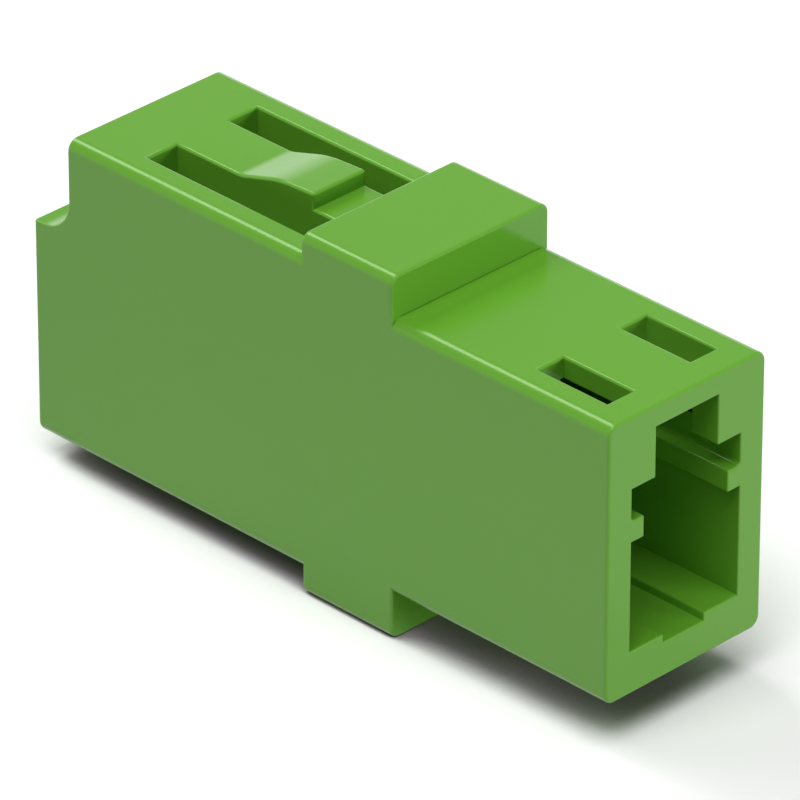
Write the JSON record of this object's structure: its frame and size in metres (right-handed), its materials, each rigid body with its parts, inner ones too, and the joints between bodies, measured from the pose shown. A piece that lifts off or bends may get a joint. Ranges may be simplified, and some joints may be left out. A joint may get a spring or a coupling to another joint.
{
  "type": "small-form fibre optic adapter",
  "caption": "Simplex fibre optic adapter: keyed square port with lug windows, panel collar, snap-in panel latch and a split sleeve that lines up two ferrules.",
  "frame": {"origin": "middle of the alignment sleeve, where the two fibre ends meet", "axes": "+X along the fibre axis, out of the front port; +Y across the width; +Z towards the side with the latch channel"},
  "size_m": [0.0241, 0.0066, 0.0123],
  "materials": {
    "housing_plastic": "satin green moulded plastic",
    "holder_plastic": "natural white moulded plastic",
    "sleeve_ceramic": "ground white zirconia"
  },
  "bodies": {
    "adapter": {"housing": "housing_plastic", "sleeve_holder_front": "holder_plastic", "sleeve_holder_rear": "holder_plastic", "alignment_sleeve": "sleeve_ceramic"},
    "latch": {"panel_latch": "housing_plastic"}
  },
  "joints": [
    {"name": "panel_latch_flex", "type": "hinge", "parent": "adapter", "child": "latch", "pos_m": [-0.00798, 0, 0.00494], "axis": [0, 1, 0], "range_deg": [0, 7], "stiffness_Nm_per_rad": 0.6}
  ]
}
